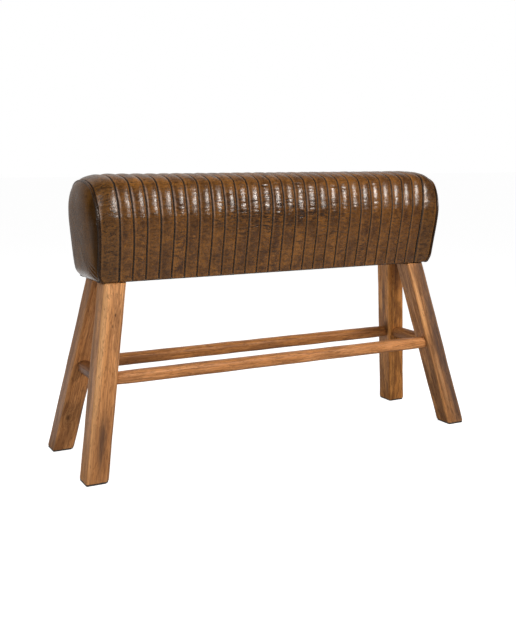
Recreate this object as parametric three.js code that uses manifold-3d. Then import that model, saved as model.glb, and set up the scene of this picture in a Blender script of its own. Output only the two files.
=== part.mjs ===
// A ribbed leather bench in the form of a gymnasium pommel horse: a long leather-covered seat on four
// splayed legs, which two long rails and two end rails tie together.
// Millimetres. X runs along the seat, Y across it and Z up, with the floor at Z = 0.
import * as THREE from "three";
import { mergeVertices } from "three/addons/utils/BufferGeometryUtils.js";
import Module from "manifold-3d";

const wasm = await Module();
wasm.setup();

// ---- driving dimensions ----
const gap = 0.3; // between pieces that touch

const seatTop = 680;
const seatBase = 438; // underside of the leather hems
const baseHalfWidth = 74; // half the seat's width at its underside
const waistHalfWidth = 99.5; // half its width where it is widest
const waistHeight = 588;

const ribCount = 26;
const ribPitch = 32;
const endStripWidth = 50;
const leather = 2;
const hemWidth = 20;
const ribbedHalfLength = (ribCount * ribPitch) / 2;
const seamHalfLength = ribbedHalfLength + endStripWidth; // to the piped seam at each end
const endNarrowing = 0.27; // how far the seat draws in at that seam, as shares of its width and height
const shoulderPower = 8; // and how closely the narrowing keeps to the shoulders
const endLowering = 0.055;
const endLean = { most: 9.5, from: 240, full: 420, low: 490, high: 668, power: 1.6 }; // of the seams, outwards
const pipingRadius = 2.7;
const endBulge = 22;
const endRounding = 30;

const baseBoard = { halfLength: 447, halfWidth: 68, bottom: seatBase + leather, thickness: 18 };
const boardThickness = 15;
const topBoard = { halfWidth: 74, top: 642 };
const boxHalfLength = 447;
const foamClearance = leather + 2 * gap;
const dustCover = { halfLength: 450, halfWidth: 62, thickness: 0.8 };
const bearer = { inner: 398, height: 21, halfWidth: 52.5 };

const legSize = 55;
const legChamfers = [2.5, 2.5, 2.5, 8]; // back right, back left, front left and front right corner
const legTop = seatBase - dustCover.thickness - 2 * gap;
const legAtTop = { x: 423, y: 43 }; // centre of the leg at the seat's underside
const legAtFloor = { x: 510, y: 136.5 };
const pad = { thickness: 3, margin: 1.5 };

const railHeight = 221;
const railSection = { width: 34, height: 31, roundness: 2.6 };
const longRailOffset = 91;
const endRailOffset = 466;
const tenonRadius = 9;
const longTenonDepth = 20;
const endTenonDepth = 15;

const bolt = { x: 421, y: 43, radius: 4, length: 72, flangeRadius: 9, flangeHeight: 2, hexRadius: 7.5, hexHeight: 5.5 };

// ---- materials ----
const brownLeather = new THREE.MeshStandardMaterial({ color: 0x6b4423, roughness: 0.38, metalness: 0 });
const darkLeather = new THREE.MeshStandardMaterial({ color: 0x4a3420, roughness: 0.35, metalness: 0 });
const legWood = new THREE.MeshStandardMaterial({ color: 0x9a6234, roughness: 0.5, metalness: 0 });
const frameWood = new THREE.MeshStandardMaterial({ color: 0xc9a673, roughness: 0.75, metalness: 0 });
const foamStuff = new THREE.MeshStandardMaterial({ color: 0xe6dcb8, roughness: 0.95, metalness: 0 });
const blackCloth = new THREE.MeshStandardMaterial({ color: 0x161514, roughness: 0.95, metalness: 0 });
const blackFelt = new THREE.MeshStandardMaterial({ color: 0x1c1a18, roughness: 0.95, metalness: 0 });
const zincSteel = new THREE.MeshStandardMaterial({ color: 0xb8bcc0, roughness: 0.35, metalness: 1 });

const bench = new THREE.Group();

function add(name, geometry, material) {
  const mesh = new THREE.Mesh(geometry, material);
  mesh.name = name;
  bench.add(mesh);
}

// ---- solids and cuts ----
function toSolid(geometry) {
  const bare = geometry.index ? geometry.toNonIndexed() : geometry.clone();
  bare.deleteAttribute("normal");
  bare.deleteAttribute("uv");
  const merged = mergeVertices(bare, 1e-3);
  const vertProperties = merged.attributes.position.array;
  const triVerts = new Uint32Array(merged.index.array);
  return new wasm.Manifold(new wasm.Mesh({ numProp: 3, vertProperties, triVerts }));
}

function toGeometry(solid) {
  const { vertProperties, triVerts } = solid.getMesh();
  return new THREE.BufferGeometry()
    .setAttribute("position", new THREE.BufferAttribute(vertProperties, 3))
    .setIndex(new THREE.BufferAttribute(triVerts, 1));
}

function cut(geometry, ...tools) {
  const left = tools.reduce((solid, tool) => solid.subtract(toSolid(tool)), toSolid(geometry));
  return toGeometry(left);
}

function join(geometry, ...others) {
  const whole = others.reduce((solid, other) => solid.add(toSolid(other)), toSolid(geometry));
  return toGeometry(whole);
}

function common(geometry, other) {
  return toGeometry(toSolid(geometry).intersect(toSolid(other)));
}

// ---- shapes ----
// Turns an extrusion of a (y, z) outline so that it runs along X.
const alongX = new THREE.Matrix4().makeBasis(
  new THREE.Vector3(0, 1, 0),
  new THREE.Vector3(0, 0, 1),
  new THREE.Vector3(1, 0, 0),
);

function extrudeX(points, x0, x1, steps = 1) {
  const options = { depth: x1 - x0, steps, bevelEnabled: false };
  return new THREE.ExtrudeGeometry(new THREE.Shape(points), options).applyMatrix4(alongX).translate(x0, 0, 0);
}

function box(x0, x1, y0, y1, z0, z1) {
  const geometry = new THREE.BoxGeometry(x1 - x0, y1 - y0, z1 - z0);
  return geometry.translate((x0 + x1) / 2, (y0 + y1) / 2, (z0 + z1) / 2);
}

function rod(radius, z0, z1, x, y, sides = 16) {
  const geometry = new THREE.CylinderGeometry(radius, radius, z1 - z0, sides).rotateX(Math.PI / 2);
  return geometry.translate(x, y, (z0 + z1) / 2);
}

function point(y, z) {
  return new THREE.Vector2(y, z);
}

function mirrored(half) {
  const other = half.map((p) => point(-p.x, p.y)).reverse();
  return half.at(-1).x === 0 ? [...half, ...other.slice(1)] : [...half, ...other];
}

// The seat's outline across X, from one lower edge over the top to the other: leaning flanks that are
// widest at the waist, rounded shoulders and a low crown. Counter-clockwise from +Y to -Y.
function seatOutline(flankSteps = 4, shoulderSteps = 3, crownSteps = 4) {
  const flank = new THREE.CubicBezierCurve(
    point(baseHalfWidth, seatBase),
    point(83, 490),
    point(98, 545),
    point(waistHalfWidth, waistHeight),
  );
  const shoulder = new THREE.CubicBezierCurve(
    point(waistHalfWidth, waistHeight),
    point(98.5, 612),
    point(92, 642),
    point(84, 658),
  );
  const crown = new THREE.CubicBezierCurve(point(84, 658), point(76, 674), point(40, seatTop), point(0, seatTop));
  return mirrored([
    ...flank.getPoints(flankSteps),
    ...shoulder.getPoints(shoulderSteps).slice(1),
    ...crown.getPoints(crownSteps).slice(1),
  ]);
}

// Moves an open outline inwards by a distance, and keeps it above a height.
function inset(points, distance, lowest = -Infinity) {
  return points.map((p, i) => {
    const before = points[Math.max(i - 1, 0)];
    const after = points[Math.min(i + 1, points.length - 1)];
    const along = after.clone().sub(before).normalize();
    const moved = point(p.x - along.y * distance, p.y + along.x * distance);
    moved.y = Math.max(moved.y, lowest);
    return moved;
  });
}

// How far the seams lean outwards at a place along the seat and a height: the top is longer than the base.
function leanAt(x, z) {
  const reach = THREE.MathUtils.smoothstep(Math.abs(x), endLean.from, endLean.full);
  const rise = THREE.MathUtils.clamp((z - endLean.low) / (endLean.high - endLean.low), 0, 1) ** endLean.power;
  return Math.sign(x) * endLean.most * reach * rise;
}

// How much of its width an end keeps at a height.
function endWidthAt(z) {
  return 1 - endNarrowing * Math.max(0, (z - seatBase) / (seatTop - seatBase)) ** shoulderPower;
}

// Draws a geometry in towards the seat's ends, where the cover is pulled over the core.
function drawIn(geometry) {
  const position = geometry.attributes.position;
  for (let i = 0; i < position.count; i++) {
    const [x, y, z] = [position.getX(i), position.getY(i), position.getZ(i)];
    const reach = THREE.MathUtils.clamp((Math.abs(x) - ribbedHalfLength) / endStripWidth, 0, 1) ** 2;
    const width = 1 - (1 - endWidthAt(z)) * reach;
    const height = seatBase + (z - seatBase) * (1 - endLowering * reach);
    position.setXYZ(i, x + leanAt(x, height), y * width, height);
  }
  return geometry;
}

// Leans a piece made for the right-hand end, upright, to follow the seams there.
function leanedEnd(geometry) {
  const position = geometry.attributes.position;
  for (let i = 0; i < position.count; i++) {
    position.setX(i, position.getX(i) + leanAt(seamHalfLength, position.getZ(i)));
  }
  return geometry;
}

// ---- the leather cover ----
// One strip of the cover: up one flank, over the crown and down the other, with its hems turned under.
function stripGeometry(x0, x1, steps) {
  const outer = seatOutline();
  const inner = inset(outer, leather, seatBase + leather).reverse();
  const hem = baseHalfWidth - hemWidth;
  const outline = [
    point(hem, seatBase),
    ...outer,
    point(-hem, seatBase),
    point(-hem, seatBase + leather),
    ...inner,
    point(hem, seatBase + leather),
  ];
  return drawIn(extrudeX(outline, x0, x1, steps));
}

function addStrips() {
  const seamClear = pipingRadius + 1;
  add("end_strip_left", stripGeometry(-seamHalfLength + seamClear, -ribbedHalfLength - gap / 2, 4), brownLeather);
  for (let i = 0; i < ribCount; i++) {
    const x0 = -ribbedHalfLength + i * ribPitch;
    const name = `rib_strip_${String(i + 1).padStart(2, "0")}`;
    add(name, stripGeometry(x0 + gap / 2, x0 + ribPitch - gap / 2, 1), brownLeather);
  }
  add("end_strip_right", stripGeometry(ribbedHalfLength + gap / 2, seamHalfLength - seamClear, 4), brownLeather);
}

// The piped seam round each end, from one lower edge over the top to the other.
function pipingGeometry(x) {
  const line = inset(seatOutline(), 1, seatBase + pipingRadius + gap);
  const flat = new THREE.BufferGeometry().setFromPoints(line.map((p) => new THREE.Vector3(x, p.x, p.y)));
  const drawn = drawIn(flat).attributes.position;
  const points = line.map((_, i) => new THREE.Vector3().fromBufferAttribute(drawn, i));
  const section = new THREE.Shape().absarc(0, 0, pipingRadius, 0, 2 * Math.PI);
  const options = { steps: 32, curveSegments: 4, extrudePath: new THREE.CatmullRomCurve3(points) };
  return new THREE.ExtrudeGeometry(section, options);
}

// A domed cushion shape on the end outline, its rim at x and its crown bulge further out.
function domeGeometry(x, insetBy, bulge, lowest) {
  const rise = 1 - endLowering;
  const outline = inset(seatOutline(3, 2, 3), insetBy, lowest).map((p) => {
    return point(p.x * endWidthAt(p.y), seatBase + (p.y - seatBase) * rise);
  });
  const options = {
    depth: 1,
    bevelThickness: bulge - 1,
    bevelSize: endRounding,
    bevelOffset: -endRounding,
    bevelSegments: 4,
  };
  return new THREE.ExtrudeGeometry(new THREE.Shape(outline), options).applyMatrix4(alongX).translate(x, 0, 0);
}

function outwardFrom(x) {
  return box(x, x + 200, -200, 200, 0, 1000);
}

// Turns a piece made for the right-hand end round to the left-hand end.
function atBothEnds(name, geometry, material) {
  add(`${name}_right`, geometry, material);
  add(`${name}_left`, geometry.clone().rotateZ(Math.PI), material);
}

function addEndPanels() {
  const rim = seamHalfLength + pipingRadius + gap;
  const outside = domeGeometry(seamHalfLength, 0, endBulge, seatBase);
  const inside = domeGeometry(seamHalfLength, leather, endBulge - leather, seatBase + leather);
  const shell = cut(common(outside, outwardFrom(rim)), inside);
  const hem = box(440, rim + leather, -hemReach(), hemReach(), seatBase, seatBase + leather);
  atBothEnds("end_panel", join(leanedEnd(shell), hem), darkLeather);
}

function hemReach() {
  return baseHalfWidth - hemWidth - 1;
}

// ---- the padding ----
function addPadding() {
  const outer = inset(seatOutline(), foamClearance, baseBoard.bottom + gap);
  const slack = 0.4;
  const core = [
    point(-baseBoard.halfWidth - slack, seatBase),
    point(baseBoard.halfWidth + slack, seatBase),
    point(baseBoard.halfWidth + slack, baseBoard.bottom + baseBoard.thickness),
    point(topBoard.halfWidth + slack, topBoard.top - boardThickness),
    point(topBoard.halfWidth + slack, topBoard.top + slack),
    point(-topBoard.halfWidth - slack, topBoard.top + slack),
    point(-topBoard.halfWidth - slack, topBoard.top - boardThickness),
    point(-baseBoard.halfWidth - slack, baseBoard.bottom + baseBoard.thickness),
  ];
  const halfLength = boxHalfLength - 2;
  const wrap = drawIn(extrudeX(outer, -halfLength, halfLength, 16));
  add("foam_wrap", cut(wrap, extrudeX(core, -boxHalfLength, boxHalfLength)), foamStuff);

  const seamRoom = 7; // keeps the pad clear of the piping
  const dome = domeGeometry(seamHalfLength, seamRoom, endBulge - foamClearance, baseBoard.bottom + gap);
  const padBack = inset(seatOutline(3, 2, 3), seamRoom, baseBoard.bottom + gap);
  const back = drawIn(extrudeX(padBack, boxHalfLength + gap, seamHalfLength + 1, 2));
  const front = leanedEnd(common(dome, outwardFrom(seamHalfLength)));
  atBothEnds("end_foam", join(front, back), foamStuff);
}

// ---- the wooden core ----
function boltHole(sideX, sideY, z0, z1) {
  return rod(bolt.radius + gap, z0, z1, sideX * bolt.x, sideY * bolt.y, 12);
}

function boltHoles(z0, z1, sidesX = [-1, 1]) {
  return sidesX.flatMap((sx) => [-1, 1].map((sy) => boltHole(sx, sy, z0, z1)));
}

function addCore() {
  const floor = baseBoard.bottom + baseBoard.thickness;
  const lid = topBoard.top - boardThickness;
  const { halfLength, halfWidth, bottom } = baseBoard;
  const base = box(-halfLength, halfLength, -halfWidth, halfWidth, bottom, floor);
  add("base_board", cut(base, ...boltHoles(bottom - 1, floor + 1)), frameWood);

  const topSize = [-boxHalfLength, boxHalfLength, -topBoard.halfWidth, topBoard.halfWidth];
  add("top_board", box(...topSize, lid, topBoard.top), frameWood);

  const sideEnd = boxHalfLength - boardThickness - gap;
  const side = [
    point(halfWidth, floor + gap),
    point(topBoard.halfWidth, lid - gap),
    point(topBoard.halfWidth - boardThickness, lid - gap),
    point(halfWidth - boardThickness, floor + gap),
  ];
  add("side_board_back", extrudeX(side, -sideEnd, sideEnd), frameWood);
  add("side_board_front", extrudeX(side, -sideEnd, sideEnd).rotateZ(Math.PI), frameWood);

  const end = [
    point(halfWidth, floor + gap),
    point(topBoard.halfWidth, lid - gap),
    point(-topBoard.halfWidth, lid - gap),
    point(-halfWidth, floor + gap),
  ];
  atBothEnds("end_board", extrudeX(end, boxHalfLength - boardThickness, boxHalfLength), frameWood);

  const bearerSize = [bearer.inner, sideEnd, -bearer.halfWidth, bearer.halfWidth];
  const batten = box(...bearerSize, floor + gap, floor + bearer.height);
  atBothEnds("bearer", cut(batten, ...boltHoles(floor - 1, floor + bearer.height + 1, [1])), frameWood);
}

function addDustCover() {
  const { halfLength, halfWidth, thickness } = dustCover;
  const top = seatBase - gap;
  const sheet = box(-halfLength, halfLength, -halfWidth, halfWidth, top - thickness, top);
  add("dust_cover", cut(sheet, ...boltHoles(top - thickness - 1, top + 1)), blackCloth);
}

// ---- legs, rails and feet ----
function chamferedSquare(size, chamfers) {
  const edge = size / 2;
  const turn = (p, n) => p.clone().rotateAround(point(0, 0), (n * Math.PI) / 2);
  return chamfers.flatMap((cut, n) => [point(edge, edge - cut), point(edge - cut, edge)].map((p) => turn(p, n)));
}

// A straight prism from z0 to z1 that leans as a leg does.
function leaning(points, z0, z1, sideX, sideY) {
  const slopeX = (sideX * (legAtTop.x - legAtFloor.x)) / seatBase;
  const slopeY = (sideY * (legAtTop.y - legAtFloor.y)) / seatBase;
  return new THREE.ExtrudeGeometry(new THREE.Shape(points), { depth: z1 - z0, bevelEnabled: false })
    .translate(0, 0, z0)
    .applyMatrix4(new THREE.Matrix4().makeShear(0, 0, 0, 0, slopeX, slopeY))
    .translate(sideX * legAtFloor.x, sideY * legAtFloor.y, 0);
}

function legBlock(sideX, sideY, oversize = 0) {
  return leaning(chamferedSquare(legSize + 2 * oversize, legChamfers), pad.thickness + gap, legTop, sideX, sideY);
}

function ovalSection({ width, height, roundness }, steps = 20) {
  const power = 2 / roundness;
  const bend = (value) => Math.sign(value) * Math.abs(value) ** power;
  return Array.from({ length: steps }, (_, i) => {
    const angle = (2 * Math.PI * (i + 0.5)) / steps;
    return point((bend(Math.cos(angle)) * width) / 2, (bend(Math.sin(angle)) * height) / 2);
  });
}

// Where a leg's centre line stands at a height.
function legCentre(z) {
  const share = z / seatBase;
  return {
    x: legAtFloor.x + (legAtTop.x - legAtFloor.x) * share,
    y: legAtFloor.y + (legAtTop.y - legAtFloor.y) * share,
  };
}

function roundBar(length, oversize) {
  return new THREE.CylinderGeometry(tenonRadius + oversize, tenonRadius + oversize, Math.abs(length), 16);
}

function tenonX(from, to, y, oversize = 0) {
  return roundBar(to - from, oversize).rotateZ(Math.PI / 2).translate((from + to) / 2, y, railHeight);
}

function tenonY(x, from, to, oversize = 0) {
  return roundBar(to - from, oversize).translate(x, (from + to) / 2, railHeight);
}

const longTenonEnd = legCentre(railHeight).x - legSize / 2 + longTenonDepth;
const endTenonEnd = legCentre(railHeight).y - legSize / 2 + endTenonDepth;

function addLegs() {
  for (const [sideX, endName] of [[-1, "left"], [1, "right"]]) {
    for (const [sideY, faceName] of [[-1, "front"], [1, "back"]]) {
      const longMortise = tenonX(0, sideX * (longTenonEnd + gap), sideY * longRailOffset, gap);
      const endMortise = tenonY(sideX * endRailOffset, 0, sideY * (endTenonEnd + gap), gap);
      const boltBore = boltHole(sideX, sideY, baseBoard.bottom - bolt.length, seatBase);
      const leg = cut(legBlock(sideX, sideY), longMortise, endMortise, boltBore);
      add(`leg_${faceName}_${endName}`, leg, legWood);

      const outline = chamferedSquare(legSize - 2 * pad.margin, legChamfers);
      add(`foot_pad_${faceName}_${endName}`, leaning(outline, 0, pad.thickness, sideX, sideY), blackFelt);
    }
  }
}

function addRails() {
  const section = ovalSection(railSection);
  const lifted = (dy) => section.map((p) => point(p.x + dy, p.y + railHeight));
  for (const [sideY, faceName] of [[-1, "front"], [1, "back"]]) {
    const y = sideY * longRailOffset;
    const bar = extrudeX(lifted(y), -endRailOffset, endRailOffset);
    const shoulders = cut(bar, legBlock(-1, sideY, gap), legBlock(1, sideY, gap));
    const middle = common(shoulders, box(-450, 450, -200, 200, 0, 400));
    const tenons = [-1, 1].map((sx) => tenonX(sx * 400, sx * longTenonEnd, y));
    add(`long_rail_${faceName}`, join(middle, ...tenons), legWood);
  }
  const halfSpan = legCentre(railHeight).y;
  const bar = extrudeX(lifted(0), -halfSpan, halfSpan).rotateZ(Math.PI / 2).translate(endRailOffset, 0, 0);
  const shoulders = cut(bar, legBlock(1, -1, gap), legBlock(1, 1, gap));
  const middle = common(shoulders, box(400, 530, -75, 75, 0, 400));
  const tenons = [-1, 1].map((sy) => tenonY(endRailOffset, sy * 30, sy * endTenonEnd));
  atBothEnds("end_rail", join(middle, ...tenons), legWood);
}

// Flange-headed coach bolts that hold the legs to the bearers and the base board.
function addBolts() {
  const seat = baseBoard.bottom + baseBoard.thickness + bearer.height + gap;
  for (const [sideX, endName] of [[-1, "left"], [1, "right"]]) {
    for (const [sideY, faceName] of [[-1, "front"], [1, "back"]]) {
      const at = [sideX * bolt.x, sideY * bolt.y];
      const shank = rod(bolt.radius, baseBoard.bottom + 2 - bolt.length, seat + 1, ...at, 12);
      const flange = rod(bolt.flangeRadius, seat, seat + bolt.flangeHeight, ...at, 20);
      const head = rod(bolt.hexRadius, seat + 1, seat + bolt.flangeHeight + bolt.hexHeight, ...at, 6);
      add(`leg_bolt_${faceName}_${endName}`, join(flange, shank, head), zincSteel);
    }
  }
}

addStrips();
atBothEnds("piping", pipingGeometry(seamHalfLength), brownLeather);
addEndPanels();
addPadding();
addCore();
addDustCover();
addLegs();
addRails();
addBolts();

export default bench;
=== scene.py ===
# %% [markdown]
# # A ribbed leather bench in the form of a pommel horse
#
# The seat is a long padded box. Its cover is sewn from narrow strips of waxed leather, so that every seam
# pulls down into the padding and every strip swells up between its two seams. A smooth panel, piped round
# its edge, closes each end. Four splayed legs carry it, and oval rails tie them together.
#
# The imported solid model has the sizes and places, and the main ones are repeated here as named values. This
# lesson dresses it: the soft parts and the wood are modelled again in finer meshes, and the hidden parts
# keep their solids and only get a finish.

# %% Load the solid model
import math

import bmesh
import bpy
import numpy as np
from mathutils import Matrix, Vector, kdtree


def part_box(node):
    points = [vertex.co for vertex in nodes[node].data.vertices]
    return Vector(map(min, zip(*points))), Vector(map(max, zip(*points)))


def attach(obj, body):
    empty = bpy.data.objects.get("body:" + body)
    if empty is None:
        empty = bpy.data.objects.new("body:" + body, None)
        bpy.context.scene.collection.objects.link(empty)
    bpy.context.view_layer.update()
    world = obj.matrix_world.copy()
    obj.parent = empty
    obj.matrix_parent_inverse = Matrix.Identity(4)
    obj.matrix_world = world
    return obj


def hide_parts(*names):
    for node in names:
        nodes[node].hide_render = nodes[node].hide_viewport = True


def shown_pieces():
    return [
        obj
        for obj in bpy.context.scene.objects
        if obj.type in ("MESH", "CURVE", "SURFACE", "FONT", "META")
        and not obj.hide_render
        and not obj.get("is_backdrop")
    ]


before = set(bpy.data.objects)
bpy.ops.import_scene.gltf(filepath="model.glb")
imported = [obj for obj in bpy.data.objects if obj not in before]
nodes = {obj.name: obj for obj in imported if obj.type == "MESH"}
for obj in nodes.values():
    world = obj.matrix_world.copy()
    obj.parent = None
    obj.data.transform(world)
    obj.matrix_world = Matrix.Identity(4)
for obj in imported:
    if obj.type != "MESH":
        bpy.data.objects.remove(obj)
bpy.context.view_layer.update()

MM = 0.001

# %% [markdown]
# ## Camera and light
#
# Dark, glossy leather shows what it reflects, so the surroundings matter as much as the lamps. A white
# backdrop stands behind the bench, the floor is white, and the rest of the room is dim. A small soft box in
# front on the right gives each rib its highlight on the shoulder, a large one on the left fills the legs
# and the end panel, and one overhead lights the crown. The backdrop is part of the world's light, so it
# needs no mesh.

# %% Camera
LENS_MM = 50.73


def added(name, data):
    """A new object of the scene that shows a mesh, a lamp or a camera."""
    thing = bpy.data.objects.new(name, data)
    bpy.context.scene.collection.objects.link(thing)
    return thing


camera = added("camera", bpy.data.cameras.new("camera"))
camera.data.sensor_width = 36
camera.data.lens = LENS_MM
camera.location = (-1.0856, -2.0197, 0.7206)
yaw, pitch = math.radians(27.786), math.radians(-10.276)  # turned to the right, and tipped down
gaze = Vector((math.sin(yaw) * math.cos(pitch), math.cos(yaw) * math.cos(pitch), math.sin(pitch)))
camera.rotation_mode = "QUATERNION"
camera.rotation_quaternion = gaze.to_track_quat("-Z", "Y")
bpy.context.scene.camera = camera
bpy.context.scene.view_settings.view_transform = "Standard"

# %% [markdown]
# ## Writing shader maths
#
# A finish is a graph of small nodes. Wrapping a node's output in a class with plus, minus and times lets
# the graph be written as arithmetic, and one method makes any other node.

# %% A graph of nodes
class Wire:
    """One output socket. Arithmetic on it adds Math nodes to its graph."""

    def __init__(self, graph, socket):
        self.graph, self.socket = graph, socket

    def maths(self, operation, *values):
        return self.graph.node("ShaderNodeMath", {"operation": operation}, dict(enumerate(values)))

    def __add__(self, other):
        return self.maths("ADD", self, other)

    def __sub__(self, other):
        return self.maths("SUBTRACT", self, other)

    def __rsub__(self, other):
        return self.maths("SUBTRACT", other, self)

    def __mul__(self, other):
        return self.maths("MULTIPLY", self, other)

    __radd__ = __add__
    __rmul__ = __mul__


class Graph:
    """The nodes of a material, a world or a geometry tree."""

    def __init__(self, tree):
        self.tree = tree

    def feed(self, socket, value):
        if isinstance(value, Wire):
            self.tree.links.new(value.socket, socket)
        else:
            socket.default_value = value

    def node(self, kind, settings=None, inputs=None, output=0):
        made = self.tree.nodes.new(kind)
        for name, value in (settings or {}).items():
            setattr(made, name, value)
        for key, value in (inputs or {}).items():
            self.feed(made.inputs[key], value)
        return Wire(self, made.outputs[output])


def between(graph, value, low, high, to_low=0.0, to_high=1.0):
    """A smooth step from to_low, where a value is below low, to to_high, where it is above high."""
    inputs = {"Value": value, "From Min": low, "From Max": high, "To Min": to_low, "To Max": to_high}
    return graph.node("ShaderNodeMapRange", {"interpolation_type": "SMOOTHSTEP"}, inputs)


def object_place(graph):
    return graph.node("ShaderNodeTexCoord", output="Object")


def axis_of(graph, vector, axis):
    return graph.node("ShaderNodeSeparateXYZ", inputs={0: vector}, output=axis)


# %% World and soft boxes
ROOM_LIGHT, BACKDROP_LIGHT = 0.12, 0.6


def make_world():
    world = bpy.data.worlds.new("studio")
    world.use_nodes = True
    bpy.context.scene.world = world
    graph = Graph(world.node_tree)
    seen = graph.node("ShaderNodeTexCoord", output="Generated")
    shade = between(graph, axis_of(graph, seen, "Y"), 0.25, 0.8, ROOM_LIGHT, BACKDROP_LIGHT)
    direct = graph.node("ShaderNodeLightPath", output="Is Camera Ray")
    strength = graph.node("ShaderNodeMix", inputs={0: direct, 2: shade, 3: 1.0})
    background = world.node_tree.nodes["Background"]
    background.inputs["Color"].default_value = (1, 1, 1, 1)
    graph.feed(background.inputs["Strength"], strength)


def soft_box(name, place, aim, size, watts, colour=(1, 1, 1), sheen=True):
    """A lamp that the camera doesn't see. Without sheen it lights a surface and isn't reflected in it."""
    lamp = bpy.data.lights.new(name, "AREA")
    lamp.shape = "RECTANGLE"
    lamp.size, lamp.size_y = size
    lamp.energy, lamp.color = watts, colour
    box = added(name, lamp)
    box.location = place
    box.rotation_mode = "QUATERNION"
    box.rotation_quaternion = (Vector(aim) - Vector(place)).to_track_quat("-Z", "Y")
    box.visible_camera, box.visible_glossy = False, sheen


make_world()
soft_box("key_light", (0.75, -1.42, 1.16), (0, 0, 0.6), (0.66, 0.22), 22, colour=(1.0, 0.94, 0.88))
soft_box("left_fill", (-1.9, -1.9, 1.2), (-0.3, 0, 0.4), (1.0, 1.4), 27)
soft_box("top_light", (0, 0.3, 2.6), (0, 0, 0.4), (2.2, 1.2), 32, sheen=False)

# %% Floor
FLOOR_REACH = 30
SEEN_GLOW = 0.9  # to the camera; the bench itself meets paper that is dark below it and bright behind it

floor_mesh = bpy.data.meshes.new("floor")
corners = [(x * FLOOR_REACH, y * FLOOR_REACH, 0) for x, y in ((-1, -1), (1, -1), (1, 1), (-1, 1))]
floor_mesh.from_pydata(corners, [], [(0, 1, 2, 3)])
floor = added("floor", floor_mesh)
paper = bpy.data.materials.new("white_paper")
paper.use_nodes = True
paper_graph = Graph(paper.node_tree)
paper_shader = paper.node_tree.nodes["Principled BSDF"]
depth_in = axis_of(paper_graph, object_place(paper_graph), "Y")
sweep = between(paper_graph, depth_in, 0.1, 0.6) * between(paper_graph, depth_in, 1.4, 2.3, 1.0, 0.3)
direct = paper_graph.node("ShaderNodeLightPath", output="Is Camera Ray")
glow = paper_graph.node("ShaderNodeMix", inputs={0: direct, 2: sweep, 3: SEEN_GLOW})
white = paper_graph.node("ShaderNodeCombineXYZ", inputs={0: glow, 1: glow, 2: glow})
paper_graph.feed(paper_shader.inputs["Emission Color"], white)
paper_shader.inputs["Base Color"].default_value = (0.4, 0.4, 0.4, 1)
paper_shader.inputs["Roughness"].default_value = 0.9
paper_shader.inputs["Specular IOR Level"].default_value = 0.0
paper_shader.inputs["Emission Strength"].default_value = 1.0
floor_mesh.materials.append(paper)
floor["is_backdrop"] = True

# %% [markdown]
# ## The seat's outline
#
# Everything soft follows one outline across the seat: leaning flanks, widest just below the shoulders,
# rounded shoulders and a low crown, with the hems turned under. Four Bezier curves give one half. Towards
# the ends the seams lean outwards, because the seat is longer at the top than at the base, and the
# shoulders round off. The lower corner of the right end is rounder than the left one's, so it is tucked in.
# One function does all this to any point.

# %% The outline and its draw-in
SEAT_TOP, SEAT_BASE = 680 * MM, 438 * MM
RIBS, PITCH, END_WIDTH = 26, 32 * MM, 50 * MM
RIBBED = RIBS * PITCH / 2  # half the ribbed length
SEAM = RIBBED + END_WIDTH  # to the piped seam
SPACING = 1.6 * MM  # between two rows of a rib's mesh
LEAN = 9.5 * MM  # how far an end's seam leans out at the top
LOW_TUCK = 11 * MM  # how far the lower corner of the right end is tucked in
NARROWING, LOWERING = 0.27, 0.055  # of the shoulders and of the height at the ends


def bezier(points, steps):
    t = np.linspace(0, 1, steps)[:, None]
    a, b, c, d = (np.array(p, float) for p in points)
    return a * (1 - t) ** 3 + 3 * b * t * (1 - t) ** 2 + 3 * c * t**2 * (1 - t) + d * t**3


def resampled(line, spacing):
    step = np.r_[0, np.cumsum(np.linalg.norm(np.diff(line, axis=0), axis=1))]
    along = np.linspace(0, step[-1], max(2, round(step[-1] / spacing) + 1))
    return np.stack([np.interp(along, step, line[:, k]) for k in range(line.shape[1])], 1)


def seat_outline(spacing, hem=20 * MM):
    turn = [(68, 438), (72.5, 438), (74.4, 439.5), (75.2, 445)]
    flank = [(75.2, 445), (83.4, 492), (98, 545), (99.5, 588)]
    shoulder = [(99.5, 588), (98.5, 612), (92, 642), (84, 658)]
    crown = [(84, 658), (76, 674), (40, 680), (0, 680)]
    half = np.concatenate([bezier(p, 60) for p in (turn, flank, shoulder, crown)]) * MM
    half = np.concatenate([[(74 * MM - hem, SEAT_BASE)], half])
    half = half[np.r_[True, np.linalg.norm(np.diff(half, axis=0), axis=1) > 1e-7]]
    whole = np.concatenate([half * (-1, 1), half[-2::-1]])
    return resampled(whole, spacing)


def eased(value, low, high):
    """0 below low, 1 above high and a smooth step between."""
    share = np.clip((value - low) / (high - low), 0, 1)
    return share * share * (3 - 2 * share)


def lean(x, z):
    """How far the seams lean outwards at a place along the seat and a height, less the tuck of one corner."""
    rise = np.clip((z - 490 * MM) / (178 * MM), 0, 1) ** 1.6
    outwards = np.sign(x) * LEAN * eased(np.abs(x), 240 * MM, 420 * MM) * rise
    return outwards - LOW_TUCK * eased(x, RIBBED, SEAM) * np.clip((466 * MM - z) / (28 * MM), 0, 1) ** 2.2


def draw_in(x, y, z):
    """Takes a point of the plain extruded seat to its place, as an array whose last axis is x, y, z."""
    reach = np.clip((np.abs(x) - RIBBED) / END_WIDTH, 0, 1) ** 2
    rise = np.clip((z - SEAT_BASE) / (SEAT_TOP - SEAT_BASE), 0, 1)
    y = y * (1 - NARROWING * reach * rise**8)
    z = SEAT_BASE + (z - SEAT_BASE) * (1 - LOWERING * reach)
    return np.stack(np.broadcast_arrays(x + lean(x, z), y, z), -1)


OUTLINE = seat_outline(SPACING)
GIRTH = np.r_[0, np.cumsum(np.linalg.norm(np.diff(OUTLINE, axis=0), axis=1))]
print("the outline is", round(GIRTH[-1] * 1000), "mm round, in", len(OUTLINE), "points")


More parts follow.
